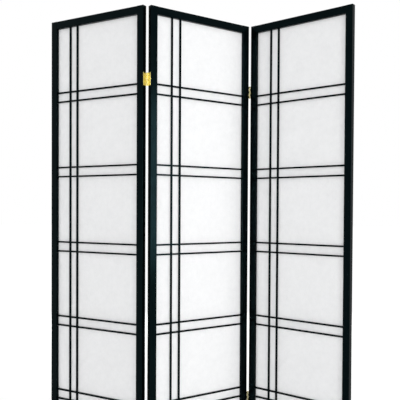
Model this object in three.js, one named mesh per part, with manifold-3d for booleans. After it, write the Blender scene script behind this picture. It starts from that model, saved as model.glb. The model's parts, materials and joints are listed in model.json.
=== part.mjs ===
// A three-panel folding screen in the shoji style: black-lacquered wooden frames with a lattice of
// half-lapped bars in front of a sheet of paper, hung on one another by pairs of brass butt hinges.
//
// Millimetres, +Z up, fronts towards -Y. The origin is the middle of the screen's footprint, on the floor.
// Each panel is built in a frame of its own: X from its left edge, Y from its front face to its back, Z from
// the floor. The outer panels hang in pivot groups on the hinge pins, so the screen folds by turning those.

import * as THREE from "three";
import { mergeVertices } from "three/addons/utils/BufferGeometryUtils.js";
import Module from "manifold-3d";

const wasm = await Module();
wasm.setup();

// ---- Driving dimensions ----

// Panels
const PANEL_WIDTH = 438;
const PANEL_HEIGHT = 1784;
const PANEL_THICKNESS = 19;

// How the screen stands: degrees that each fold is turned from a flat wall, and the middle panel's heading
const LEFT_FOLD_TURN = 65.6;
const RIGHT_FOLD_TURN = 75.2;
const MIDDLE_HEADING = 34.4;

// Frame
const STILE_WIDTH = 27;
const RAIL_HEIGHT = 28.5;
const FOOT_HEIGHT = 61.5; // the stiles' run below the bottom rail
const ARRIS_RADIUS = 1.2; // eased long edges of stiles and rails
const TENON_LENGTH = 15;
const TENON_THICKNESS = 6;
const TENON_SHOULDER = 6; // of the rail's height, above and below the tenon

// Lattice
const BAR_WIDTH = 6; // seen from the front
const BAR_DEPTH = 7.5; // front to back
const BAR_CHAMFER = 0.5;
const BAR_STUB = 4; // the bar's end let into the frame
const PAIR_GAP = 29; // clear space between the two bars of a pair
const FIRST_COLUMN = 61; // clear space from the left stile to the upright pair
const PAIR_COUNT = 5; // pairs of cross bars
const END_CELL = 241.25; // clear space from a rail to its nearest cross pair

// Paper
const PAPER_RECESS = 12; // the paper's face behind the frame's front face
const PAPER_THICKNESS = 0.4;
const GROOVE_DEPTH = 5; // the groove round the frame that holds the paper's edges

// Hinges
const HINGE_HEIGHT = 46;
const UPPER_HINGE_DROP = 257; // the upper hinge's middle below the top
const LOWER_HINGE_RISE = 327; // the lower hinge's middle above the floor
const LEAF_THICKNESS = 1.2;
const LEAF_MARGIN = 1.5; // bare wood between the leaf and the far arris
const BARREL_RADIUS = 2.7;
const PIN_RADIUS = 1.25;
const PIN_HEAD_RADIUS = 2.1;
const PIN_HEAD_HEIGHT = 1.1;
const PIN_HEAD_GAP = 0.01; // the head's rim past the end of the barrel
const PIN_NECK = 0.5; // how far inside the barrel the pin is down to its own radius
const PIN_STANDOFF = 2; // the pin's axis out from the panel's face
const KNUCKLE_COUNT = 5; // the pinned leaf has the odd ones, the socket leaf the even ones
const SCREW_COUNT = 3;
const SCREW_RADIUS = 1.7;
const SCREW_HEAD_RADIUS = 3;
const COUNTERSINK_SLOPE = 0.8; // depth for each millimetre of radius
const SCREW_INSET = 7; // the end screws' middles from the leaf's ends
const PILOT_RADIUS = 1.5; // the screws' holes in the stiles
const PILOT_DEPTH = 14;

// Clearances
const JOINT_CLEARANCE = 0.25; // round tenons, stubs, laps and the paper's edges
const LEAF_CLEARANCE = 0.3; // between a leaf and the wood under it
const PIN_CLEARANCE = 0.1; // round the pin in the socket leaf
const KNUCKLE_CLEARANCE = 0.3; // between knuckles, and round a barrel where a plate is cut back

// Facets
const ARC_STEPS = 1; // ExtrudeGeometry makes twice as many facets of each arc
const BARREL_STEPS = 9;
const PIN_FACETS = 16;
const HOLE_FACETS = 12;
const DOME_STEPS = 3;
const WELD_DISTANCE = 1e-4; // corners nearer than this are one

// ---- Sizes that follow from them ----

const PIN_OFFSET = LEAF_CLEARANCE + BARREL_RADIUS; // the pin's axis out from the panel's edge
const INNER_LEFT = STILE_WIDTH;
const INNER_RIGHT = PANEL_WIDTH - STILE_WIDTH;
const INNER_BOTTOM = FOOT_HEIGHT + RAIL_HEIGHT;
const INNER_TOP = PANEL_HEIGHT - RAIL_HEIGHT;
const PAIR_PITCH_ACROSS = BAR_WIDTH + PAIR_GAP; // between the middles of one pair's bars
const PAIR_HEIGHT = PAIR_PITCH_ACROSS + BAR_WIDTH;
const PAIR_SPACING = (INNER_TOP - INNER_BOTTOM - 2 * END_CELL - PAIR_HEIGHT) / (PAIR_COUNT - 1);
const BAR_BACK = PAPER_RECESS - JOINT_CLEARANCE;
const BAR_FRONT = BAR_BACK - BAR_DEPTH;
const LAP_FACE = (BAR_FRONT + BAR_BACK) / 2; // where the halves of a lap meet
const OVERCUT = 5; // how far a cutter runs past the face that it opens

const KNUCKLE_PITCH = (HINGE_HEIGHT + KNUCKLE_CLEARANCE) / KNUCKLE_COUNT;
const LEAF_REACH = PIN_STANDOFF + PANEL_THICKNESS - LEAF_MARGIN; // from the pin's axis to the leaf's far end
const PLATE_START = BARREL_RADIUS + KNUCKLE_CLEARANCE; // where a plate is cut back for the other's barrel
const SCREW_DISTANCE = (LEAF_REACH + PLATE_START) / 2; // from the pin's axis
const SCREW_PITCH = (HINGE_HEIGHT - 2 * SCREW_INSET) / (SCREW_COUNT - 1);
const SCREW_RISES = Array.from({ length: SCREW_COUNT }, (_, i) => {
  return -HINGE_HEIGHT / 2 + SCREW_INSET + i * SCREW_PITCH;
});

// The heights of the hinges on every fold, and how far behind a panel's front face their pins stand. The left
// fold's pins stand behind the backs of the panels, the right fold's in front of their fronts.
const HINGE_LEVELS = { upper: PANEL_HEIGHT - UPPER_HINGE_DROP, lower: LOWER_HINGE_RISE };
const PIN_BEHIND = PANEL_THICKNESS + PIN_STANDOFF;
const PIN_BEFORE = -PIN_STANDOFF;

const UPRIGHTS = [0, 1].map((i) => INNER_LEFT + FIRST_COLUMN + BAR_WIDTH / 2 + i * PAIR_PITCH_ACROSS);
const CROSSINGS = Array.from({ length: PAIR_COUNT }, (_, i) => {
  const upper = INNER_TOP - END_CELL - BAR_WIDTH / 2 - i * PAIR_SPACING;
  return [upper, upper - PAIR_PITCH_ACROSS];
}).flat();

// ---- Materials ----

const LACQUER = { color: 0x0f1517, roughness: 0.38, metalness: 0 };
const PAPER = { color: 0xf5f4f0, roughness: 0.9, metalness: 0 };
const BRASS = { color: 0xc8a548, roughness: 0.3, metalness: 1 };

// ---- Solids ----

// A closed geometry as a solid that can be cut and joined.
function solid(geometry) {
  const bare = geometry.index ? geometry.toNonIndexed() : geometry.clone();
  bare.deleteAttribute("normal");
  bare.deleteAttribute("uv");
  const merged = mergeVertices(bare, WELD_DISTANCE);
  const mesh = new wasm.Mesh({
    numProp: 3,
    vertProperties: merged.attributes.position.array,
    triVerts: new Uint32Array(merged.index.array),
  });
  return new wasm.Manifold(mesh);
}

// A solid back as a geometry with flat facets.
function facets(body) {
  const mesh = body.getMesh();
  const geometry = new THREE.BufferGeometry();
  geometry.setAttribute("position", new THREE.BufferAttribute(mesh.vertProperties, 3));
  geometry.setIndex(new THREE.BufferAttribute(mesh.triVerts, 1));
  const flat = geometry.toNonIndexed();
  flat.computeVertexNormals();
  return flat;
}

// A cutter or tenon that fills the given stretch along each axis.
function block([x0, x1], [y0, y1], [z0, z1]) {
  const box = new THREE.BoxGeometry(x1 - x0, y1 - y0, z1 - z0);
  return solid(box.translate((x0 + x1) / 2, (y0 + y1) / 2, (z0 + z1) / 2));
}

// A rectangle from (x0, y0) to (x1, y1) whose corners are rounded to the given radius.
function easedRectangle(x0, y0, x1, y1, radius) {
  const quarter = Math.PI / 2;
  const shape = new THREE.Shape();
  shape.absarc(x0 + radius, y0 + radius, radius, 2 * quarter, 3 * quarter);
  shape.absarc(x1 - radius, y0 + radius, radius, 3 * quarter, 4 * quarter);
  shape.absarc(x1 - radius, y1 - radius, radius, 0, quarter);
  shape.absarc(x0 + radius, y1 - radius, radius, quarter, 2 * quarter);
  shape.closePath();
  return shape;
}

// A rectangle from (x0, y0) to (x1, y1) with its corners cut off.
function chamferedRectangle(x0, y0, x1, y1, cut) {
  return new THREE.Shape([
    new THREE.Vector2(x0 + cut, y0),
    new THREE.Vector2(x1 - cut, y0),
    new THREE.Vector2(x1, y0 + cut),
    new THREE.Vector2(x1, y1 - cut),
    new THREE.Vector2(x1 - cut, y1),
    new THREE.Vector2(x0 + cut, y1),
    new THREE.Vector2(x0, y1 - cut),
    new THREE.Vector2(x0, y0 + cut),
  ]);
}

// A section in X and Y, run along Z from one height to the other.
function runUp(shape, z0, z1, curveSegments = ARC_STEPS) {
  const run = new THREE.ExtrudeGeometry(shape, { depth: z1 - z0, bevelEnabled: false, curveSegments });
  return solid(run.translate(0, 0, z0));
}

// A section in Y and Z, run along X from one place to the other.
function runAcross(shape, x0, x1) {
  const turn = new THREE.Matrix4().makeBasis(
    new THREE.Vector3(0, 1, 0),
    new THREE.Vector3(0, 0, 1),
    new THREE.Vector3(1, 0, 0),
  );
  const run = new THREE.ExtrudeGeometry(shape, {
    depth: x1 - x0,
    bevelEnabled: false,
    curveSegments: ARC_STEPS,
  });
  return solid(run.applyMatrix4(turn).translate(x0, 0, 0));
}

// A stretch made longer by the same amount at both ends.
function widened([low, high], by) {
  return [low - by, high + by];
}

// The stretch of the given width about a middle.
function about(middle, width) {
  return [middle - width / 2, middle + width / 2];
}

// ---- Frame ----

const PAPER_STRETCH = [PAPER_RECESS, PAPER_RECESS + PAPER_THICKNESS];
const BAR_STRETCH = [BAR_FRONT, BAR_BACK];
const TENON_STRETCH = about(PANEL_THICKNESS / 2, TENON_THICKNESS);

// A stile's left side, its inner and outer edges, and the direction from the inner edge into the wood.
const STILES = {
  left: { x: 0, inner: INNER_LEFT, outer: 0, into: -1 },
  right: { x: INNER_RIGHT, inner: INNER_RIGHT, outer: PANEL_WIDTH, into: 1 },
};

// A rail's underside, its inner edge, and the direction from that edge into the wood.
const RAILS = {
  top: { z: INNER_TOP, inner: INNER_TOP, into: 1 },
  bottom: { z: FOOT_HEIGHT, inner: INNER_BOTTOM, into: -1 },
};

// The stretch of a slot that opens at an inner edge and goes the given depth into the wood.
function slotStretch({ inner, into }, depth) {
  const ends = [inner - into * OVERCUT, inner + into * depth];
  return [Math.min(...ends), Math.max(...ends)];
}

function tenonHeights(rail) {
  return [rail.z + TENON_SHOULDER, rail.z + RAIL_HEIGHT - TENON_SHOULDER];
}

// The blind holes in a stile's outer edge for the screws of its hinges, whose pins stand at the given depth.
function pilotHoles(edge, pinDepth) {
  const towardsPanel = pinDepth > 0 ? -1 : 1;
  const y = pinDepth + towardsPanel * SCREW_DISTANCE;
  const hole = new THREE.CylinderGeometry(PILOT_RADIUS, PILOT_RADIUS, 2 * PILOT_DEPTH, HOLE_FACETS);
  const lying = hole.rotateZ(Math.PI / 2);
  const heights = Object.values(HINGE_LEVELS).flatMap((level) => SCREW_RISES.map((rise) => level + rise));
  return heights.map((z) => solid(lying.clone().translate(edge.outer, y, z)));
}

// A full-height stile with blind mortises for the rails and bars, the groove for the paper, and where it
// carries hinges, the holes for their screws.
function stile(edge, pinDepth) {
  const section = easedRectangle(edge.x, 0, edge.x + STILE_WIDTH, PANEL_THICKNESS, ARRIS_RADIUS);
  let wood = runUp(section, 0, PANEL_HEIGHT);
  const tenonSlot = slotStretch(edge, TENON_LENGTH + JOINT_CLEARANCE);
  for (const rail of Object.values(RAILS)) {
    const heights = widened(tenonHeights(rail), JOINT_CLEARANCE);
    wood = wood.subtract(block(tenonSlot, widened(TENON_STRETCH, JOINT_CLEARANCE), heights));
  }
  const stubSlot = slotStretch(edge, BAR_STUB + JOINT_CLEARANCE);
  for (const z of CROSSINGS) {
    const heights = about(z, BAR_WIDTH + 2 * JOINT_CLEARANCE);
    wood = wood.subtract(block(stubSlot, widened(BAR_STRETCH, JOINT_CLEARANCE), heights));
  }
  const groove = block(
    slotStretch(edge, GROOVE_DEPTH),
    widened(PAPER_STRETCH, JOINT_CLEARANCE),
    widened([INNER_BOTTOM, INNER_TOP], GROOVE_DEPTH),
  );
  wood = wood.subtract(groove);
  const holes = pinDepth === undefined ? [] : pilotHoles(edge, pinDepth);
  return holes.reduce((left, hole) => left.subtract(hole), wood);
}

// A rail between the stiles, with a tenon at each end, stub mortises for the uprights and the paper's groove.
function rail(edge) {
  const shoulders = widened([INNER_LEFT, INNER_RIGHT], -JOINT_CLEARANCE);
  const section = easedRectangle(0, edge.z, PANEL_THICKNESS, edge.z + RAIL_HEIGHT, ARRIS_RADIUS);
  let wood = runAcross(section, ...shoulders);
  const groove = block(
    widened(shoulders, OVERCUT),
    widened(PAPER_STRETCH, JOINT_CLEARANCE),
    slotStretch(edge, GROOVE_DEPTH),
  );
  wood = wood.subtract(groove);
  for (const x of UPRIGHTS) {
    const widths = about(x, BAR_WIDTH + 2 * JOINT_CLEARANCE);
    const depths = widened(BAR_STRETCH, JOINT_CLEARANCE);
    wood = wood.subtract(block(widths, depths, slotStretch(edge, BAR_STUB + JOINT_CLEARANCE)));
  }
  const tenon = block(widened([INNER_LEFT, INNER_RIGHT], TENON_LENGTH), TENON_STRETCH, tenonHeights(edge));
  return wood.add(tenon);
}

// ---- Lattice ----

// An upright bar. Its back half is notched at every crossing, so it runs in front.
function uprightBar(x) {
  const [x0, x1] = about(x, BAR_WIDTH);
  const section = chamferedRectangle(x0, BAR_FRONT, x1, BAR_BACK, BAR_CHAMFER);
  let wood = runUp(section, ...widened([INNER_BOTTOM, INNER_TOP], BAR_STUB));
  const notchDepths = [LAP_FACE - JOINT_CLEARANCE / 2, BAR_BACK + OVERCUT];
  for (const z of CROSSINGS) {
    const heights = about(z, BAR_WIDTH + 2 * JOINT_CLEARANCE);
    wood = wood.subtract(block(widened([x0, x1], OVERCUT), notchDepths, heights));
  }
  return wood;
}

// A cross bar. Its front half is notched at both uprights, which lie in it.
function crossBar(z) {
  const [z0, z1] = about(z, BAR_WIDTH);
  const section = chamferedRectangle(BAR_FRONT, z0, BAR_BACK, z1, BAR_CHAMFER);
  let wood = runAcross(section, ...widened([INNER_LEFT, INNER_RIGHT], BAR_STUB));
  const notchDepths = [BAR_FRONT - OVERCUT, LAP_FACE + JOINT_CLEARANCE / 2];
  for (const x of UPRIGHTS) {
    const widths = about(x, BAR_WIDTH + 2 * JOINT_CLEARANCE);
    wood = wood.subtract(block(widths, notchDepths, widened([z0, z1], OVERCUT)));
  }
  return wood;
}

// The sheet of paper behind the lattice, its edges in the frame's groove.
function paperSheet() {
  const reach = GROOVE_DEPTH - JOINT_CLEARANCE;
  return block(
    widened([INNER_LEFT, INNER_RIGHT], reach),
    PAPER_STRETCH,
    widened([INNER_BOTTOM, INNER_TOP], reach),
  );
}

// ---- Hinges ----

// A hinge is built about its pin, which is its Z axis. A leaf lies on -X, flat against the edge of a panel,
// and runs towards -Y from the barrel.

const LEAF_OUTER = LEAF_THICKNESS - BARREL_RADIUS; // the leaf's face that looks away from the wood

// The leaf's section: a plate rolled tangentially into a barrel.
function leafSection() {
  const rollEnd = Math.atan2(-Math.sqrt(BARREL_RADIUS ** 2 - LEAF_OUTER ** 2), LEAF_OUTER);
  const shape = new THREE.Shape();
  shape.moveTo(LEAF_OUTER, -LEAF_REACH);
  shape.lineTo(-BARREL_RADIUS, -LEAF_REACH);
  shape.absarc(0, 0, BARREL_RADIUS, Math.PI, rollEnd, true);
  shape.closePath();
  return shape;
}

// The stretch of height of one knuckle, counted from below.
function knuckleHeights(i) {
  const low = -HINGE_HEIGHT / 2 + i * KNUCKLE_PITCH;
  return [low, low + KNUCKLE_PITCH - KNUCKLE_CLEARANCE];
}

// The through hole and countersink of one screw, cut from the leaf's outer face.
function screwHole(y, z) {
  const outer = LEAF_THICKNESS;
  const profile = [
    new THREE.Vector2(0, -OVERCUT / 2),
    new THREE.Vector2(SCREW_RADIUS, -OVERCUT / 2),
    new THREE.Vector2(SCREW_RADIUS, outer - (SCREW_HEAD_RADIUS - SCREW_RADIUS) * COUNTERSINK_SLOPE),
    new THREE.Vector2(SCREW_HEAD_RADIUS, outer),
    new THREE.Vector2(SCREW_HEAD_RADIUS, outer + OVERCUT / 2),
    new THREE.Vector2(0, outer + OVERCUT / 2),
  ];
  const lathe = new THREE.LatheGeometry(profile, HOLE_FACETS);
  return solid(lathe.rotateZ(-Math.PI / 2).translate(-BARREL_RADIUS, y, z));
}

// The stretch of height that one leaf keeps clear for a knuckle of the other.
function notchHeights(i) {
  const [low, high] = knuckleHeights(i);
  const below = i === 0 ? OVERCUT : KNUCKLE_CLEARANCE;
  const above = i === KNUCKLE_COUNT - 1 ? OVERCUT : KNUCKLE_CLEARANCE;
  return [low - below, high + above];
}

// A leaf with every second knuckle, starting with the given one, and its screw holes.
function leaf(firstKnuckle) {
  let brass = runUp(leafSection(), -HINGE_HEIGHT / 2, HINGE_HEIGHT / 2, BARREL_STEPS);
  for (let i = 1 - firstKnuckle; i < KNUCKLE_COUNT; i += 2) {
    brass = brass.subtract(block([-OVERCUT, OVERCUT], [-PLATE_START, OVERCUT], notchHeights(i)));
  }
  for (const rise of SCREW_RISES) {
    brass = brass.subtract(screwHole(-SCREW_DISTANCE, rise));
  }
  return brass;
}

// The pin, with a domed head past each end of the barrel.
function pin() {
  const end = HINGE_HEIGHT / 2;
  const dome = new THREE.Path();
  dome.moveTo(0, -end - PIN_HEAD_HEIGHT);
  dome.quadraticCurveTo(PIN_HEAD_RADIUS, -end - PIN_HEAD_HEIGHT, PIN_HEAD_RADIUS, -end - PIN_HEAD_GAP);
  const below = dome.getPoints(DOME_STEPS);
  const above = below.map((p) => new THREE.Vector2(p.x, -p.y)).reverse();
  const neck = [-1, 1].map((way) => new THREE.Vector2(PIN_RADIUS, way * (end - PIN_NECK)));
  const lathe = new THREE.LatheGeometry([...below, ...neck, ...above], PIN_FACETS);
  return solid(lathe.rotateX(Math.PI / 2));
}

// The leaf that holds the pin: the pin is staked in its knuckles, so the two are one piece.
function pinnedLeaf() {
  return leaf(0).add(pin());
}

// The leaf whose knuckles turn on the pin. Its bore's flats clear the pin.
function socketLeaf() {
  const flats = Math.cos(Math.PI / PIN_FACETS);
  const radius = (PIN_RADIUS + PIN_CLEARANCE) / flats;
  const bore = new THREE.CylinderGeometry(radius, radius, 2 * HINGE_HEIGHT, PIN_FACETS);
  return leaf(1).subtract(solid(bore.rotateX(Math.PI / 2)));
}

// ---- Assembly ----

function named(name, geometry, finish) {
  const mesh = new THREE.Mesh(geometry, new THREE.MeshStandardMaterial(finish));
  mesh.name = name;
  return mesh;
}

const panelGeometry = {
  topRail: facets(rail(RAILS.top)),
  bottomRail: facets(rail(RAILS.bottom)),
  uprights: UPRIGHTS.map((x) => facets(uprightBar(x))),
  crossBars: CROSSINGS.map((z) => facets(crossBar(z))),
  paper: facets(paperSheet()),
};
const hingeGeometry = { pinned: facets(pinnedLeaf()), socket: facets(socketLeaf()) };

// One panel in its own frame, without its hinge leaves. The pins beside its left and right edges stand at the
// given depths, and an edge without hinges has none.
function panel(side, leftPinDepth, rightPinDepth) {
  const group = new THREE.Group();
  group.add(named(`${side}_left_stile`, facets(stile(STILES.left, leftPinDepth)), LACQUER));
  group.add(named(`${side}_right_stile`, facets(stile(STILES.right, rightPinDepth)), LACQUER));
  group.add(named(`${side}_top_rail`, panelGeometry.topRail, LACQUER));
  group.add(named(`${side}_bottom_rail`, panelGeometry.bottomRail, LACQUER));
  panelGeometry.uprights.forEach((geometry, i) => {
    group.add(named(`${side}_upright_bar_${i + 1}`, geometry, LACQUER));
  });
  panelGeometry.crossBars.forEach((geometry, i) => {
    group.add(named(`${side}_cross_bar_${String(i + 1).padStart(2, "0")}`, geometry, LACQUER));
  });
  group.add(named(`${side}_paper`, panelGeometry.paper, PAPER));
  return group;
}

// Adds one leaf for each hinge of a fold, about the pin's place in the group's frame.
function hangLeaves(group, fold, kind, place, rotation) {
  for (const [level, z] of Object.entries(HINGE_LEVELS)) {
    const mesh = named(`${fold}_fold_${level}_hinge_${kind}_leaf`, hingeGeometry[kind], BRASS);
    mesh.position.set(place.x, place.y, z);
    mesh.rotation.set(...rotation);
    group.add(mesh);
  }
}

const LEFT_PIN = { x: -PIN_OFFSET, y: PIN_BEHIND };
const RIGHT_PIN = { x: PANEL_WIDTH + PIN_OFFSET, y: PIN_BEFORE };
const AT_PIN = { x: 0, y: 0 };
const HALF_TURN = Math.PI;

const middle = panel("middle", PIN_BEHIND, PIN_BEFORE);
hangLeaves(middle, "left", "pinned", LEFT_PIN, [0, HALF_TURN, 0]);
hangLeaves(middle, "right", "pinned", RIGHT_PIN, [HALF_TURN, 0, 0]);

const leftFold = new THREE.Group();
const left = panel("left", undefined, PIN_BEHIND);
left.position.set(-PANEL_WIDTH - PIN_OFFSET, -LEFT_PIN.y, 0);
leftFold.add(left);
hangLeaves(leftFold, "left", "socket", AT_PIN, [0, 0, 0]);
leftFold.position.set(LEFT_PIN.x, LEFT_PIN.y, 0);
leftFold.rotation.z = -THREE.MathUtils.degToRad(LEFT_FOLD_TURN);

const rightFold = new THREE.Group();
const right = panel("right", PIN_BEFORE, undefined);
right.position.set(PIN_OFFSET, -RIGHT_PIN.y, 0);
rightFold.add(right);
hangLeaves(rightFold, "right", "socket", AT_PIN, [0, 0, HALF_TURN]);
rightFold.position.set(RIGHT_PIN.x, RIGHT_PIN.y, 0);
rightFold.rotation.z = -THREE.MathUtils.degToRad(RIGHT_FOLD_TURN);

const standing = new THREE.Group();
standing.add(middle, leftFold, rightFold);
standing.rotation.z = THREE.MathUtils.degToRad(MIDDLE_HEADING);

const footprint = new THREE.Box3().setFromObject(standing, true);
const centre = footprint.getCenter(new THREE.Vector3());
standing.position.set(-centre.x, -centre.y, 0);

const screen = new THREE.Group();
screen.name = "folding_screen";
screen.add(standing);

export default screen;
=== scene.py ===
import json
import math
import random

import bmesh
import bpy
from mathutils import Euler, Matrix, Vector, noise


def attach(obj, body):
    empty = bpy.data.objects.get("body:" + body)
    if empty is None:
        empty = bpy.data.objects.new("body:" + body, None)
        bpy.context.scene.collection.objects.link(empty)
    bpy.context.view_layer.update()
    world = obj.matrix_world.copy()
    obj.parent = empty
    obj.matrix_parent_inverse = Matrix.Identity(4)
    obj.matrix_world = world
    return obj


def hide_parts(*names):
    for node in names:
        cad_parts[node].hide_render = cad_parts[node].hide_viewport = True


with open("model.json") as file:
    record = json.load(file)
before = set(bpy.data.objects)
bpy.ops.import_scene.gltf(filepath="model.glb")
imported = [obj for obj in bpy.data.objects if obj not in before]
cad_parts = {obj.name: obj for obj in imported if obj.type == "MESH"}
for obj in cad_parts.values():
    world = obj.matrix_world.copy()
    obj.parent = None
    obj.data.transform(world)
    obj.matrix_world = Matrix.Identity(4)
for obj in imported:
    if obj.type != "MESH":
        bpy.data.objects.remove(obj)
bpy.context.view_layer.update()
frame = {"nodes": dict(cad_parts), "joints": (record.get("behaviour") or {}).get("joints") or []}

random.seed(7)

# ---- The screen's sizes, in metres, as the CAD source has them ----

MM = 0.001
PANEL_WIDTH = 438 * MM
PANEL_HEIGHT = 1784 * MM
PANEL_THICKNESS = 19 * MM
STILE_WIDTH = 27 * MM
RAIL_HEIGHT = 28.5 * MM
FOOT_HEIGHT = 61.5 * MM
BAR_WIDTH = 6 * MM
PAIR_GAP = 29 * MM
FIRST_COLUMN = 61 * MM
PAIR_COUNT = 5
END_CELL = 241.25 * MM
PAPER_RECESS = 12 * MM
PAPER_EDGE = 4.75 * MM  # how far the paper runs into the frame's groove
PIN_BESIDE = 3 * MM  # a pin's axis out from the panel's edge
PIN_STANDOFF = 2 * MM  # and out from its front or back face
LEAF_FACE = 1.5 * MM  # from a pin's axis to the outer face of a leaf
SCREW_DISTANCE = 11.25 * MM  # from a pin's axis to the screws
SCREW_RISES = (-16 * MM, 0, 16 * MM)
HINGE_LEVELS = {"upper": PANEL_HEIGHT - 257 * MM, "lower": 327 * MM}  # the hinges' middles

INNER_LEFT = STILE_WIDTH
INNER_RIGHT = PANEL_WIDTH - STILE_WIDTH
INNER_BOTTOM = FOOT_HEIGHT + RAIL_HEIGHT
INNER_TOP = PANEL_HEIGHT - RAIL_HEIGHT

# ---- Where the panels stand ----

JOINTS = {joint["name"]: Vector(joint["pos_m"]) for joint in frame["joints"]}


def panel_frame(heading, joint, pin_x, pin_y):
    """The matrix from a panel's own frame to the whole screen's, from its heading and one pin's place."""
    turn = Matrix.Rotation(math.radians(heading), 4, "Z")
    return Matrix.Translation(JOINTS[joint]) @ turn @ Matrix.Translation((-pin_x, -pin_y, 0))


BEHIND = PANEL_THICKNESS + PIN_STANDOFF
BEFORE = -PIN_STANDOFF
HEADINGS = {"left": -31.2, "middle": 34.4, "right": -40.8}
PANELS = {
    "left": panel_frame(HEADINGS["left"], "left_fold", PANEL_WIDTH + PIN_BESIDE, BEHIND),
    "middle": panel_frame(HEADINGS["middle"], "left_fold", -PIN_BESIDE, BEHIND),
    "right": panel_frame(HEADINGS["right"], "right_fold", -PIN_BESIDE, BEFORE),
}

# ---- Objects and meshes ----


def new_object(name, data):
    """A new object in the scene."""
    made = bpy.data.objects.new(name, data)
    bpy.context.scene.collection.objects.link(made)
    return made


def new_mesh(name, shape):
    """A mesh made from a bmesh, which is freed."""
    mesh = bpy.data.meshes.new(name)
    shape.to_mesh(mesh)
    shape.free()
    return mesh


# ---- Node trees ----


def new_tree(name):
    """A new material, its node tree with nothing but the output, and the output."""
    material = bpy.data.materials.new(name)
    material.use_nodes = True
    tree = material.node_tree
    tree.nodes.clear()
    return material, tree, tree.nodes.new("ShaderNodeOutputMaterial")


def add(tree, kind, settings=None, **inputs):
    """A node with its settings, and its inputs set to values or linked to sockets.

    An input is given by its name with _ for each space, or as _0, _1 and so on by its number.
    """
    made = tree.nodes.new(kind)
    for key, value in (settings or {}).items():
        setattr(made, key, value)
    for key, value in inputs.items():
        socket = made.inputs[int(key[1:])] if key[0] == "_" else made.inputs[key.replace("_", " ")]
        if isinstance(value, bpy.types.NodeSocket):
            tree.links.new(value, socket)
        else:
            socket.default_value = value
    return made


def math_node(tree, operation, *values):
    """The result of a Math node on values or sockets."""
    inputs = {f"_{i}": value for i, value in enumerate(values)}
    return add(tree, "ShaderNodeMath", {"operation": operation}, **inputs).outputs[0]


def vector_node(tree, operation, *vectors):
    """The result of a Vector Math node: a number for a length, and otherwise a vector."""
    inputs = {f"_{i}": vector for i, vector in enumerate(vectors)}
    made = add(tree, "ShaderNodeVectorMath", {"operation": operation}, **inputs)
    return made.outputs["Value" if operation == "LENGTH" else "Vector"]


def difference(tree, a, b):
    """How far apart two values are."""
    return math_node(tree, "ABSOLUTE", math_node(tree, "SUBTRACT", a, b))


def weigh(tree, first, second, share):
    """Two values added up, the first by its share and the second by the rest."""
    rest = math_node(tree, "MULTIPLY", second, 1 - share)
    return math_node(tree, "MULTIPLY_ADD", first, share, rest)


def remap(tree, value, low, high, to_low, to_high):
    """A value brought from one range to another, and held inside it."""
    ends = {"From_Min": low, "From_Max": high, "To_Min": to_low, "To_Max": to_high}
    return add(tree, "ShaderNodeMapRange", {"clamp": True}, Value=value, **ends).outputs[0]


def blend_colours(tree, factor, a, b):
    """Two colours mixed by a factor."""
    return add(tree, "ShaderNodeMix", {"data_type": "RGBA"}, _0=factor, _6=a, _7=b).outputs[2]


def cloud(tree, vector, scale, detail=3.0, roughness=0.55, distortion=0.0):
    """A noise value from 0 to 1. Its scale is in cycles a metre."""
    return add(
        tree,
        "ShaderNodeTexNoise",
        Vector=vector,
        Scale=scale,
        Detail=detail,
        Roughness=roughness,
        Distortion=distortion,
    ).outputs[0]


def own_coordinates(tree):
    """The place in an object's own frame, in metres. A CAD node's is the whole screen's frame."""
    return add(tree, "ShaderNodeTexCoord").outputs["Object"]


def panel_coordinates(tree, side):
    """The place in a panel's own frame, in metres."""
    return add(
        tree,
        "ShaderNodeMapping",
        {"vector_type": "POINT"},
        Vector=own_coordinates(tree),
        Location=PANELS[side].inverted().to_translation(),
        Rotation=Euler((0, 0, -math.radians(HEADINGS[side]))),
    ).outputs[0]


# ---- Lacquer ----

LACQUER_DARK = (0.0002, 0.0005, 0.0006, 1)
LACQUER_PALE = (0.0010, 0.0019, 0.0021, 1)
LACQUER_RUBBED = (0.016, 0.019, 0.019, 1)
LACQUER_SHEEN = (0.26, 0.74, 0.86, 1)  # the tint of its reflections
LACQUER_SPECULAR = 0.07
LACQUER_ROUGHNESS = (0.13, 0.22)
LACQUER_ROUGHNESS_SPREAD = (0.7, 1.3)  # of the two noises that vary it, added up

PORE_SCALE = 1500
FIGURE_SCALE = 260
SMEAR_SCALE = 22
FIGURE_SHARE = 0.6  # in the shade, beside the smears
SHADE_SPREAD = (0.42, 0.6)  # the shade's values that turn out dark and pale
PORE_SHARE = 0.65  # in the relief, beside the figure
GRAIN_BUMP = 0.4
GRAIN_RELIEF = 0.2 * MM

RUB_SCALE = 75
RUB_SPREAD = (0.45, 0.68)
RUB_REACH = (0.25 * MM, 1.5 * MM)  # from an edge: rubbed up to the first, and untouched past the second
RUB_TINT = 0.5  # how far rubbed lacquer takes its own colour
RUB_POLISH = 0.1  # and how much smoother it is

# How the grain is squeezed: long along the wood
UP_GRAIN = (1, 1, 0.03)
ACROSS_GRAIN = (0.03, 1, 1)

# A member's long edges, for arris_distance: the axis across it, the panel's middle on that axis, and from
# there to the member's outer edge, and the member's width
RAIL_MIDDLE = (FOOT_HEIGHT + PANEL_HEIGHT) / 2
STILE_ARRIS = (0, PANEL_WIDTH / 2, PANEL_WIDTH / 2, STILE_WIDTH)
RAIL_ARRIS = (2, RAIL_MIDDLE, PANEL_HEIGHT - RAIL_MIDDLE, RAIL_HEIGHT)


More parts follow.
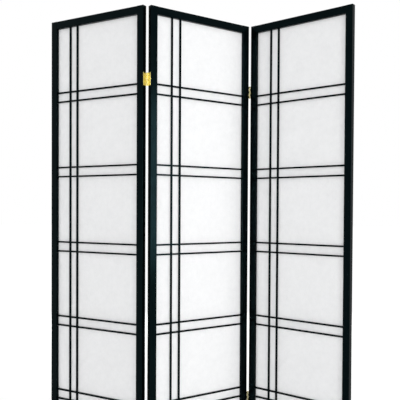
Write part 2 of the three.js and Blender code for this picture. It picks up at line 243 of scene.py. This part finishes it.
def arris_distance(tree, local, axis, middle, outer, width):
    """How far a surface point is from the nearest long edge of a stile or rail."""
    parts = add(tree, "ShaderNodeSeparateXYZ", Vector=local)
    from_middle = difference(tree, parts.outputs[axis], middle)
    to_outer = difference(tree, from_middle, outer)
    to_inner = difference(tree, from_middle, outer - width)
    across = math_node(tree, "MINIMUM", to_outer, to_inner)
    to_front = math_node(tree, "ABSOLUTE", parts.outputs[1])
    to_back = difference(tree, parts.outputs[1], PANEL_THICKNESS)
    deep = math_node(tree, "MINIMUM", to_front, to_back)
    return math_node(tree, "ADD", across, deep)


def lacquer(name, side, stretch, arris=None):
    """Satin black lacquer over open-grained wood, rubbed along its long edges.

    stretch squeezes the grain, and arris gives the arguments of arris_distance where the edges are rubbed.
    """
    material, tree, output = new_tree(name)
    local = panel_coordinates(tree, side)
    along = vector_node(tree, "MULTIPLY", local, stretch)
    pores = cloud(tree, along, PORE_SCALE, detail=5, roughness=0.62)
    figure = cloud(tree, along, FIGURE_SCALE, detail=4, distortion=0.6)
    smears = cloud(tree, local, SMEAR_SCALE, detail=3)
    shade = weigh(tree, figure, smears, FIGURE_SHARE)
    colour = blend_colours(tree, remap(tree, shade, *SHADE_SPREAD, 0, 1), LACQUER_DARK, LACQUER_PALE)
    varied = math_node(tree, "ADD", smears, figure)
    roughness = remap(tree, varied, *LACQUER_ROUGHNESS_SPREAD, *LACQUER_ROUGHNESS)
    if arris:
        patches = cloud(tree, local, RUB_SCALE, detail=5, roughness=0.7)
        near = remap(tree, arris_distance(tree, local, *arris), *RUB_REACH, 1, 0)
        rubbed = math_node(tree, "MULTIPLY", near, remap(tree, patches, *RUB_SPREAD, 0, 1))
        tint = math_node(tree, "MULTIPLY", rubbed, RUB_TINT)
        colour = blend_colours(tree, tint, colour, LACQUER_RUBBED)
        roughness = math_node(tree, "MULTIPLY_ADD", rubbed, -RUB_POLISH, roughness)
    relief = weigh(tree, pores, figure, PORE_SHARE)
    bump = add(tree, "ShaderNodeBump", Strength=GRAIN_BUMP, Distance=GRAIN_RELIEF, Height=relief)
    surface = add(
        tree,
        "ShaderNodeBsdfPrincipled",
        Base_Color=colour,
        Roughness=roughness,
        Normal=bump.outputs[0],
        Specular_IOR_Level=LACQUER_SPECULAR,
        Specular_Tint=LACQUER_SHEEN,
    )
    tree.links.new(surface.outputs[0], output.inputs["Surface"])
    return material


# ---- Brass ----

BRASS_BRIGHT = (0.84, 0.745, 0.30, 1)
BRASS_DULL = (0.64, 0.53, 0.19, 1)
# a dark brass, painted on a hinge's barrel as shade
BRASS_PAINTED_SHADE = (0.34, 0.31, 0.20, 1)
LEAF_COLOURS = (BRASS_BRIGHT, BRASS_DULL)
SCREW_COLOURS = ((0.66, 0.50, 0.16, 1), (0.36, 0.27, 0.10, 1))
LEAF_ROUGHNESS = 0.15  # at its smoothest
SCREW_ROUGHNESS = 0.3
ROUGHNESS_RISE = 0.2  # from there to the roughest
BRASS_ROUGHNESS_SPREAD = (0.7, 1.35)

MARK_STRETCH = (1, 1, 0.06)  # the rubbing marks run upright
MARK_SCALE = 2600
MARK_BUMP = 0.2
MARK_RELIEF = 0.05 * MM
DULL_SCALE = 170
DULL_SPREAD = (0.42, 0.72)
DULL_MOST = 0.8

BARREL_REACH = (2.4 * MM, 4.0 * MM)  # from a pin's axis: where the barrel's painted shade starts to fade, and ends
# how far each fold's barrel is darkened with painted shade
BARREL_PAINTED_SHADE = {"left": 0.1, "right": 0.85}


def brass(name, smoothest, colours, pin=None, barrel_painted_shade=0.0):
    """Rolled brass with fine rubbing marks, dulled in patches, and darkened round a pin's axis if given, as
    painted shade on a hinge's barrel.
    """
    material, tree, output = new_tree(name)
    place = own_coordinates(tree)
    marks = cloud(tree, vector_node(tree, "MULTIPLY", place, MARK_STRETCH), MARK_SCALE, roughness=0.6)
    patches = cloud(tree, place, DULL_SCALE, detail=5, roughness=0.65)
    colour = blend_colours(tree, remap(tree, patches, *DULL_SPREAD, 0, DULL_MOST), *colours)
    varied = math_node(tree, "ADD", marks, patches)
    roughness = remap(tree, varied, *BRASS_ROUGHNESS_SPREAD, smoothest, smoothest + ROUGHNESS_RISE)
    # painted shade: the brass darkens towards the pin's axis, over the hinge's barrel
    if pin:
        from_pin = vector_node(tree, "SUBTRACT", place, pin)
        reach = vector_node(tree, "LENGTH", vector_node(tree, "MULTIPLY", from_pin, (1, 1, 0)))
        painted_shade = remap(tree, reach, *BARREL_REACH, barrel_painted_shade, 0)
        colour = blend_colours(tree, painted_shade, colour, BRASS_PAINTED_SHADE)
    bump = add(tree, "ShaderNodeBump", Strength=MARK_BUMP, Distance=MARK_RELIEF, Height=marks)
    surface = add(
        tree,
        "ShaderNodeBsdfPrincipled",
        Base_Color=colour,
        Metallic=1.0,
        Roughness=roughness,
        Normal=bump.outputs[0],
    )
    tree.links.new(surface.outputs[0], output.inputs["Surface"])
    return material


# ---- Shoji paper ----

PAPER_WHITE = (0.95, 0.952, 0.955, 1)
PAPER_THICK = (0.83, 0.835, 0.84, 1)
PAPER_THROUGH = (0.945, 0.947, 0.95, 1)
PAPER_ROUGHNESS = 0.85
PAPER_SPECULAR = 0.2
THIN_SHARE = 0.4  # the translucent share of the thinnest paper
DENSE_LOSS = 0.1  # how much less of it dense paper has

PULP_SCALE = 55
FLEECE_SCALE = 420
PULP_SHARE = 0.6  # beside the fleece
CLOUD_SPREAD = (0.36, 0.66)
CLOUD_DENSITY = 0.6
STRAND_LAYS = ((0.4, 95), (1.5, 120), (2.6, 105))  # how each lay of long fibres is turned, and its scale
STRAND_STRETCH = (1, 1, 0.16)
STRAND_EDGES = (0.004, 0.016)  # from a fibre's middle, in the noise's values: it starts to fade, and is gone
STRAND_DENSITY = 0.35
STRAND_RELIEF = 0.7
PAPER_BUMP = 0.3
PAPER_RELIEF = 0.12 * MM


def long_fibres(tree, local):
    """1 along the fibres of all the lays, and 0 between them."""
    strands = None
    for turn, scale in STRAND_LAYS:
        spun = add(
            tree,
            "ShaderNodeMapping",
            {"vector_type": "POINT"},
            Vector=local,
            Rotation=Euler((0, turn, 0)),
            Scale=STRAND_STRETCH,
        ).outputs[0]
        warped = cloud(tree, spun, scale, detail=2, roughness=0.5, distortion=2.2)
        strand = remap(tree, difference(tree, warped, 0.5), *STRAND_EDGES, 1, 0)
        strands = strand if strands is None else math_node(tree, "MAXIMUM", strands, strand)
    return strands


def washi(name, side):
    """Shoji paper: cloudy pulp with long fibres in it, letting some light through."""
    material, tree, output = new_tree(name)
    local = panel_coordinates(tree, side)
    pulp = cloud(tree, local, PULP_SCALE, detail=6, roughness=0.62)
    fleece = cloud(tree, local, FLEECE_SCALE, detail=4, roughness=0.6, distortion=1.4)
    strands = long_fibres(tree, local)
    cloudy = weigh(tree, pulp, fleece, PULP_SHARE)
    thickness = remap(tree, cloudy, *CLOUD_SPREAD, 0, CLOUD_DENSITY)
    dense = math_node(tree, "MULTIPLY_ADD", strands, STRAND_DENSITY, thickness)
    height = math_node(tree, "MULTIPLY_ADD", strands, STRAND_RELIEF, cloudy)
    bump = add(tree, "ShaderNodeBump", Strength=PAPER_BUMP, Distance=PAPER_RELIEF, Height=height)
    face = add(
        tree,
        "ShaderNodeBsdfPrincipled",
        Base_Color=blend_colours(tree, dense, PAPER_WHITE, PAPER_THICK),
        Roughness=PAPER_ROUGHNESS,
        Normal=bump.outputs[0],
        Specular_IOR_Level=PAPER_SPECULAR,
    )
    through = add(tree, "ShaderNodeBsdfTranslucent", Color=PAPER_THROUGH, Normal=bump.outputs[0])
    share = math_node(tree, "MULTIPLY_ADD", dense, -DENSE_LOSS, THIN_SHARE)
    mixed = add(tree, "ShaderNodeMixShader", _0=share, _1=face.outputs[0], _2=through.outputs[0])
    tree.links.new(mixed.outputs[0], output.inputs["Surface"])
    return material


# ---- The wood: the CAD solids with eased edges and lacquer ----

WOOD_EASE = 0.35 * MM
EASE_SEGMENTS = 2
WELD_REACH = 0.001 * MM
FACET_JOIN = math.radians(0.2)
SHARP_FROM = math.radians(50)


def ease_edges(piece, width):
    """Welds a CAD solid's facets, joins the flat ones and rounds its sharp edges a little."""
    weld = piece.modifiers.new("weld", "WELD")
    weld.merge_threshold = WELD_REACH
    flatten = piece.modifiers.new("flatten", "DECIMATE")
    flatten.decimate_type = "DISSOLVE"
    flatten.angle_limit = FACET_JOIN
    bevel = piece.modifiers.new("ease", "BEVEL")
    bevel.width = width
    bevel.segments = EASE_SEGMENTS
    bevel.limit_method = "ANGLE"
    bevel.angle_limit = SHARP_FROM


def coat(mesh, material):
    """Gives a mesh one material."""
    mesh.materials.clear()
    mesh.materials.append(material)


def dress_node(node_name, width, material):
    """Eases the edges of a CAD node and gives it one material."""
    node = frame["nodes"][node_name]
    ease_edges(node, width)
    coat(node.data, material)


for side in PANELS:
    upright_frame = lacquer(f"{side}_lacquer_upright", side, UP_GRAIN, STILE_ARRIS)
    level_frame = lacquer(f"{side}_lacquer_level", side, ACROSS_GRAIN, RAIL_ARRIS)
    upright_bar = lacquer(f"{side}_lacquer_upright_bar", side, UP_GRAIN)
    cross_bar = lacquer(f"{side}_lacquer_cross_bar", side, ACROSS_GRAIN)
    for name in ("left_stile", "right_stile"):
        dress_node(f"{side}_{name}", WOOD_EASE, upright_frame)
    for name in ("top_rail", "bottom_rail"):
        dress_node(f"{side}_{name}", WOOD_EASE, level_frame)
    for i in (1, 2):
        dress_node(f"{side}_upright_bar_{i}", WOOD_EASE, upright_bar)
    for i in range(1, 2 * PAIR_COUNT + 1):
        dress_node(f"{side}_cross_bar_{i:02d}", WOOD_EASE, cross_bar)

# ---- The paper: one sheet a panel, taut in its frame and a little slack in each pane ----

SHEET_SPACE = 0.4 * MM  # the CAD sheet's thickness
SHEET_THICKNESS = 0.16 * MM
GRID_STEP = 11 * MM
SLACK = 0.7 * MM  # the deepest that a large pane bellies, apart from its ripple
SLACK_SPAN = 240 * MM  # the pane that bellies so
SLACK_SHAPE = 0.8  # under 1, a belly is flatter in the middle and steeper at the bars
RIPPLE = 0.35 * MM
RIPPLE_SCALE = 7.0
FIRST_RIPPLE = 3.1  # where the first sheet's ripple is taken from the noise; each next one's is 1 further


def bar_edges():
    """The edges that bound the panes, two a pane, across and up, in a panel's own frame."""
    across = [INNER_LEFT]
    for step in (FIRST_COLUMN, BAR_WIDTH, PAIR_GAP, BAR_WIDTH):
        across.append(across[-1] + step)
    across.append(INNER_RIGHT)
    pair_height = PAIR_GAP + 2 * BAR_WIDTH
    spacing = (INNER_TOP - INNER_BOTTOM - 2 * END_CELL - pair_height) / (PAIR_COUNT - 1)
    up = [INNER_BOTTOM]
    for i in range(PAIR_COUNT):
        low = INNER_BOTTOM + END_CELL + i * spacing
        up += [low, low + BAR_WIDTH, low + BAR_WIDTH + PAIR_GAP, low + pair_height]
    up.append(INNER_TOP)
    return across, up


def fine_steps(edges):
    """The edges with more steps between them, and the stretch in the groove at each end."""
    steps = [edges[0] - PAPER_EDGE]
    for low, high in zip(edges, edges[1:]):
        count = max(1, math.ceil((high - low) / GRID_STEP))
        steps += [low + (high - low) * i / count for i in range(count)]
    return steps + [edges[-1], edges[-1] + PAPER_EDGE]


def pane_share(value, edges):
    """How far into its pane a value lies, from 0 at a bar to 1 in the middle, and the pane's size."""
    for low, high in zip(edges[::2], edges[1::2]):
        if low < value < high:
            t = (value - low) / (high - low)
            return math.sin(math.pi * t) ** SLACK_SHAPE, high - low
    return 0.0, 0.0


def sheet_depth(x, z, across, up, seed):
    """How far behind its taut place the paper lies."""
    share_x, width = pane_share(x, across)
    share_z, height = pane_share(z, up)
    span = min(1, min(width, height) / SLACK_SPAN)
    place = Vector((x * RIPPLE_SCALE, seed, z * RIPPLE_SCALE))
    return share_x * share_z * (SLACK * span + RIPPLE * span * noise.noise(place))


def sheet_rim(rows, columns):
    """The grid's outer points in turn, as row and column."""
    rim = [(0, i) for i in range(columns)] + [(j, columns - 1) for j in range(1, rows)]
    rim += [(rows - 1, i) for i in range(columns - 2, -1, -1)] + [(j, 0) for j in range(rows - 2, 0, -1)]
    return rim


def paper_sheet(side, seed):
    """A closed thin sheet with its faces on a grid."""
    across, up = bar_edges()
    xs, zs = fine_steps(across), fine_steps(up)
    start = PAPER_RECESS + (SHEET_SPACE - SHEET_THICKNESS) / 2
    shape = bmesh.new()
    grids = []
    for back in (0, 1):
        grid = []
        for z in zs:
            row = []
            for x in xs:
                y = start + back * SHEET_THICKNESS + sheet_depth(x, z, across, up, seed)
                row.append(shape.verts.new(PANELS[side] @ Vector((x, y, z))))
            grid.append(row)
        grids.append(grid)
    front, rear = grids
    rows, columns = len(zs), len(xs)
    for j in range(rows - 1):
        for i in range(columns - 1):
            cell = ((j, i), (j, i + 1), (j + 1, i + 1), (j + 1, i))
            corners = [front[b][a] for b, a in cell]
            shape.faces.new(corners).smooth = True
            corners = [rear[b][a] for b, a in cell[:1] + cell[:0:-1]]
            shape.faces.new(corners).smooth = True
    rim = sheet_rim(rows, columns)
    for (j0, i0), (j1, i1) in zip(rim, rim[1:] + rim[:1]):
        edge_face = shape.faces.new((front[j0][i0], rear[j0][i0], rear[j1][i1], front[j1][i1]))
        for edge in edge_face.edges:
            edge.smooth = False
    return new_object(f"{side}_washi", new_mesh(f"{side}_washi", shape))


for i, side in enumerate(PANELS):
    sheet = paper_sheet(side, FIRST_RIPPLE + i)
    coat(sheet.data, washi(f"{side}_washi", side))
    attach(sheet, f"{side}_panel")
    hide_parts(f"{side}_paper")

# ---- The hinges: the CAD leaves in brass, and their screws ----

HINGE_EASE = 0.12 * MM
LEAVES = {
    # a fold and a leaf of it: the panel, the pin's place in it, and the leaf's turn about that place
    ("left", "pinned"): ("middle", (-PIN_BESIDE, BEHIND), (0, math.pi, 0)),
    ("left", "socket"): ("left", (PANEL_WIDTH + PIN_BESIDE, BEHIND), (0, 0, 0)),
    ("right", "pinned"): ("middle", (PANEL_WIDTH + PIN_BESIDE, BEFORE), (math.pi, 0, 0)),
    ("right", "socket"): ("right", (-PIN_BESIDE, BEFORE), (0, 0, math.pi)),
}

HEAD_RADIUS = 2.85 * MM
HEAD_DEPTH = 0.95 * MM
HEAD_CROWN = 0.18 * MM
CROWN_RINGS = 5
CROWN_SPREAD = 0.96  # of the head's radius
HEAD_LIP = 0.12 * MM
SHANK_RADIUS = 1.35 * MM
SHANK_LENGTH = 12 * MM
PLAIN_SHANK = 2 * MM  # between the head and the thread
THREAD_PITCH = 1.1 * MM
THREAD_STEPS = (0.3, 0.7)  # of the pitch, where the thread's root starts and ends
THREAD_ROOT = 0.76  # of the shank's radius
TIP_RING = 1.2 * MM  # from the thread's end to a ring round the tip
TIP_RING_SIZE = 0.55
TIP_END = 2.25 * MM
SCREW_SIDES = 32
RECESS_ARM = 1.75 * MM  # half the length of the driver's cross
RECESS_WIDTH = 0.34 * MM  # half the width of its arms
RECESS_DEPTH = 0.85 * MM
# The cutter's rings, from outside the head to the recess's floor: X, and size against the cross
CUTTER_RINGS = ((0.5 * MM, 1.15), (-HEAD_CROWN, 1.0), (-RECESS_DEPTH, 0.35))


def lathe(shape, profile, sides):
    """A closed body turned about X. The profile's points are (x, radius), and both its ends lie on X."""
    rings = []
    for x, radius in profile:
        if radius == 0:
            rings.append([shape.verts.new((x, 0, 0))])
            continue
        turns = [2 * math.pi * i / sides for i in range(sides)]
        rings.append([shape.verts.new((x, radius * math.cos(a), radius * math.sin(a))) for a in turns])
    for low, high in zip(rings, rings[1:]):
        for i in range(sides):
            next_low = low[(i + 1) % len(low)]
            next_high = high[(i + 1) % len(high)]
            corners = (low[i % len(low)], next_low, next_high, high[i % len(high)])
            shape.faces.new(list(dict.fromkeys(corners)))
    bmesh.ops.recalc_face_normals(shape, faces=shape.faces)


def screw_profile():
    """A countersunk wood screw's profile, with the top of its head at X 0 and its shank running to -X."""
    profile = []
    for k in range(CROWN_RINGS + 1):
        share = k / CROWN_RINGS
        profile.append((HEAD_CROWN * (1 - share**2) - HEAD_CROWN, HEAD_RADIUS * CROWN_SPREAD * share))
    profile.append((-HEAD_CROWN - HEAD_LIP, HEAD_RADIUS))
    profile.append((-HEAD_DEPTH - HEAD_CROWN, SHANK_RADIUS))
    x = -HEAD_DEPTH - HEAD_CROWN - PLAIN_SHANK
    profile.append((x, SHANK_RADIUS))
    while x > -SHANK_LENGTH:
        profile += [(x - step * THREAD_PITCH, SHANK_RADIUS * THREAD_ROOT) for step in THREAD_STEPS]
        x -= THREAD_PITCH
        profile.append((x, SHANK_RADIUS))
    profile.append((x - TIP_RING, SHANK_RADIUS * TIP_RING_SIZE))
    profile.append((x - TIP_END, 0))
    return profile


def screw_blank():
    """The screw without its driver's cross."""
    shape = bmesh.new()
    lathe(shape, screw_profile(), SCREW_SIDES)
    return new_mesh("screw_blank", shape)


def cross_cutter():
    """The driver's cross as a tapered cutter."""
    corners = ((RECESS_ARM, -RECESS_WIDTH), (RECESS_ARM, RECESS_WIDTH), (RECESS_WIDTH, RECESS_WIDTH))
    outline = []
    for quarter in range(4):
        turn = Matrix.Rotation(quarter * math.pi / 2, 2)
        outline += [turn @ Vector(corner) for corner in corners]
    shape = bmesh.new()
    rings = []
    for x, size in CUTTER_RINGS:
        rings.append([shape.verts.new((x, p.x * size, p.y * size)) for p in outline])
    shape.faces.new(rings[0])
    shape.faces.new(rings[-1][::-1])
    for low, high in zip(rings, rings[1:]):
        for i in range(len(outline)):
            j = (i + 1) % len(outline)
            shape.faces.new((low[i], low[j], high[j], high[i]))
    bmesh.ops.recalc_face_normals(shape, faces=shape.faces)
    return new_mesh("cross_cutter", shape)


def screw_mesh():
    """The screw with its driver's cross cut in."""
    blank = new_object("screw_blank", screw_blank())
    cutter = new_object("cross_cutter", cross_cutter())
    cut = blank.modifiers.new("cross", "BOOLEAN")
    cut.operation = "DIFFERENCE"
    cut.solver = "EXACT"
    cut.object = cutter
    bpy.context.view_layer.update()
    finished = blank.evaluated_get(bpy.context.evaluated_depsgraph_get())
    mesh = bpy.data.meshes.new_from_object(finished)
    mesh.name = "screw"
    bpy.data.objects.remove(blank)
    bpy.data.objects.remove(cutter)
    return mesh


screw = screw_mesh()
coat(screw, brass("screw_brass", SCREW_ROUGHNESS, SCREW_COLOURS))

# each fold's leaves get their own brass, which differs only in the painted shade on its barrel
leaf_brass = {
    fold: brass(f"{fold}_leaf_brass", LEAF_ROUGHNESS, LEAF_COLOURS, JOINTS[f"{fold}_fold"], painted_shade)
    for fold, painted_shade in BARREL_PAINTED_SHADE.items()
}

for (fold, kind), (side, (pin_x, pin_y), turn) in LEAVES.items():
    for level, height in HINGE_LEVELS.items():
        dress_node(f"{fold}_fold_{level}_hinge_{kind}_leaf", HINGE_EASE, leaf_brass[fold])
        at_pin = Matrix.Translation((pin_x, pin_y, height)) @ Euler(turn).to_matrix().to_4x4()
        for i, rise in enumerate(SCREW_RISES, 1):
            place = Matrix.Translation((-LEAF_FACE, -SCREW_DISTANCE, rise))
            spin = Matrix.Rotation(random.uniform(0, math.pi / 2), 4, "X")
            piece = new_object(f"{fold}_fold_{level}_{kind}_screw_{i}", screw)
            piece.matrix_world = PANELS[side] @ at_pin @ place @ spin
            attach(piece, f"{side}_panel")

# ---- Floor, light and camera ----

FLOOR_REACH = 40.0
FLOOR_CELLS = 8
FLOOR_DROP = 0.1 * MM  # under the feet
FLOOR_COLOUR = (0.86, 0.86, 0.86, 1)
FLOOR_LIFTS = (0.24, 0.53)  # the white that is added to the floor as it is seen, near and far
LIFT_REACH = (1.5, 5.0)  # how far out the near lift ends, and the far one starts
WHITE = (1, 1, 1, 1)
FILL_STRENGTH = 0.605
LAMP_AIM = Vector((0, 0, PANEL_HEIGHT * 0.55))


def seen_directly(tree):
    """1 for the rays of the camera, mirrors and glass, and 0 for the rest."""
    path = add(tree, "ShaderNodeLightPath")
    seen = math_node(tree, "MAXIMUM", path.outputs["Is Camera Ray"], path.outputs["Is Glossy Ray"])
    return math_node(tree, "MAXIMUM", seen, path.outputs["Is Transmission Ray"])


def pale_floor():
    """A wide pale floor that takes the screen's shadow and runs out into the white of the world."""
    shape = bmesh.new()
    bmesh.ops.create_grid(shape, x_segments=FLOOR_CELLS, y_segments=FLOOR_CELLS, size=FLOOR_REACH)
    floor = new_object("floor", new_mesh("floor", shape))
    floor.location.z = -FLOOR_DROP
    material, tree, output = new_tree("floor")
    matte = add(tree, "ShaderNodeBsdfDiffuse", Color=FLOOR_COLOUR)
    lift = remap(tree, vector_node(tree, "LENGTH", own_coordinates(tree)), *LIFT_REACH, *FLOOR_LIFTS)
    glow = add(tree, "ShaderNodeEmission", Strength=math_node(tree, "MULTIPLY", seen_directly(tree), lift))
    both = add(tree, "ShaderNodeAddShader", _0=matte.outputs[0], _1=glow.outputs[0])
    tree.links.new(both.outputs[0], output.inputs["Surface"])
    coat(floor.data, material)


def white_world():
    """A world that is seen as white, and lights the screen evenly at a lower strength."""
    world = bpy.data.worlds.new("studio")
    bpy.context.scene.world = world
    world.use_nodes = True
    tree = world.node_tree
    tree.nodes.clear()
    output = tree.nodes.new("ShaderNodeOutputWorld")
    fill = add(tree, "ShaderNodeBackground", Color=WHITE, Strength=FILL_STRENGTH)
    white = add(tree, "ShaderNodeBackground", Color=WHITE, Strength=1.0)
    seen = seen_directly(tree)
    mixed = add(tree, "ShaderNodeMixShader", _0=seen, _1=fill.outputs[0], _2=white.outputs[0])
    tree.links.new(mixed.outputs[0], output.inputs["Surface"])


def soft_box(name, azimuth, elevation, distance, width, height, power):
    """A soft area lamp aimed just above the screen's middle. Its azimuth is counted from -Y towards +X."""
    lamp = bpy.data.lights.new(name, "AREA")
    lamp.shape = "RECTANGLE"
    lamp.size = width
    lamp.size_y = height
    lamp.energy = power
    holder = new_object(name, lamp)
    a, e = math.radians(azimuth), math.radians(elevation)
    away = Vector((math.sin(a) * math.cos(e), -math.cos(a) * math.cos(e), math.sin(e)))
    holder.location = LAMP_AIM + distance * away
    holder.rotation_euler = away.to_track_quat("Z", "Y").to_euler()


CAMERA_PLACE = (0.039091, -2.315251, 1.064571)
CAMERA_YAW = 0.020342  # in radians, as are the next two
CAMERA_PITCH = 0.019068  # downwards
CAMERA_ROLL = 0.005806
CAMERA_LENS = 56.1114
CAMERA_SENSOR = 36
CAMERA_SHIFT = (-0.045076, 0.055922)
CAMERA_REACH = 200  # how far it sees, in metres


def photo_camera():
    """The camera at the photograph's viewpoint, as it was fitted to the panels' edges."""
    ahead = math.cos(CAMERA_PITCH)
    forward = Vector((math.sin(CAMERA_YAW) * ahead, math.cos(CAMERA_YAW) * ahead, -math.sin(CAMERA_PITCH)))
    level = Vector((math.cos(CAMERA_YAW), -math.sin(CAMERA_YAW), 0))
    upright = level.cross(forward)
    right = math.cos(CAMERA_ROLL) * level + math.sin(CAMERA_ROLL) * upright
    up = math.cos(CAMERA_ROLL) * upright - math.sin(CAMERA_ROLL) * level
    turn = Matrix((right, up, -forward)).transposed().to_4x4()
    data = bpy.data.cameras.new("camera")
    data.sensor_width = CAMERA_SENSOR
    data.lens = CAMERA_LENS
    data.shift_x, data.shift_y = CAMERA_SHIFT
    data.clip_end = CAMERA_REACH
    camera = new_object("camera", data)
    camera.matrix_world = Matrix.Translation(CAMERA_PLACE) @ turn
    bpy.context.scene.camera = camera


pale_floor()
white_world()
soft_box("key", azimuth=28, elevation=8, distance=4.0, width=0.7, height=2.4, power=37)
soft_box("front_fill", azimuth=0, elevation=6, distance=4.5, width=2.0, height=2.0, power=28)
soft_box("side_light", azimuth=61, elevation=6, distance=3.0, width=0.3, height=1.4, power=12)
soft_box("back_light", azimuth=180, elevation=10, distance=4.0, width=3.0, height=2.4, power=76)
photo_camera()

bpy.context.scene.view_settings.view_transform = "Standard"

bpy.context.view_layer.update()
